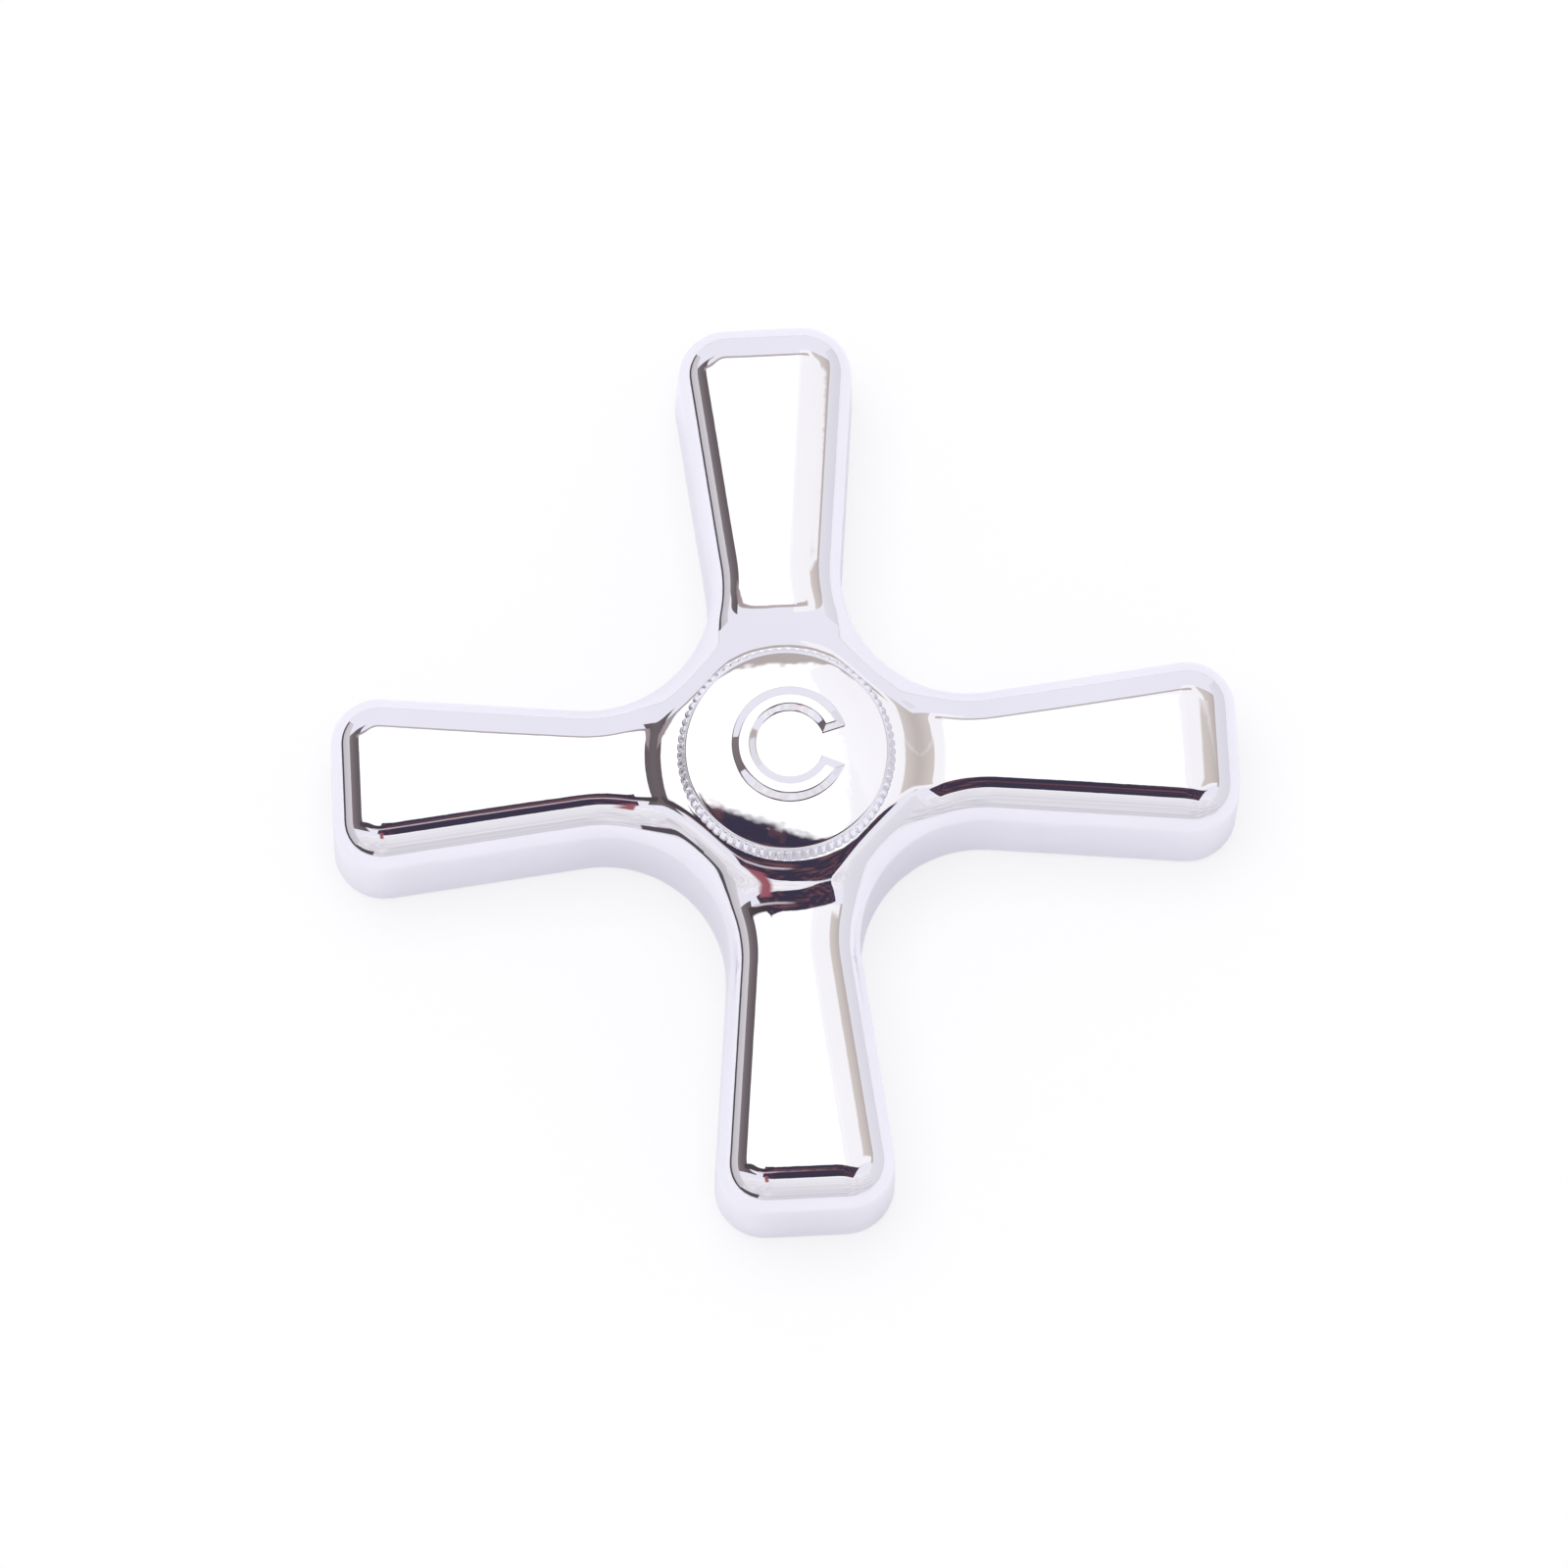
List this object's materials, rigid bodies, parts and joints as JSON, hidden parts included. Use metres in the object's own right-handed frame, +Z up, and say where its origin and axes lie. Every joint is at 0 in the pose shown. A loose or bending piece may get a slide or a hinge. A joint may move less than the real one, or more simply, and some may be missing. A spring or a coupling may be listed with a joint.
{
  "type": "tap handle",
  "caption": "Cross-shaped chrome tap handle with tapered arms, a raised hub, a domed index cap with a beaded rim, and a serrated spindle socket with its fixing screw.",
  "frame": {"origin": "on the spindle axis, in the plane of the flat underside", "axes": "+Z up through the index cap, arms along +X, -X, +Y and -Y"},
  "size_m": [0.07, 0.07, 0.0154],
  "materials": {
    "body_chrome": "bright chrome plate on a polished zinc-alloy casting",
    "cap_chrome": "bright chrome plate on a moulded cap",
    "screw_brass": "turned brass"
  },
  "bodies": {
    "root": {"handle_body": "body_chrome", "index_cap": "cap_chrome", "fixing_screw": "screw_brass"}
  },
  "joints": []
}
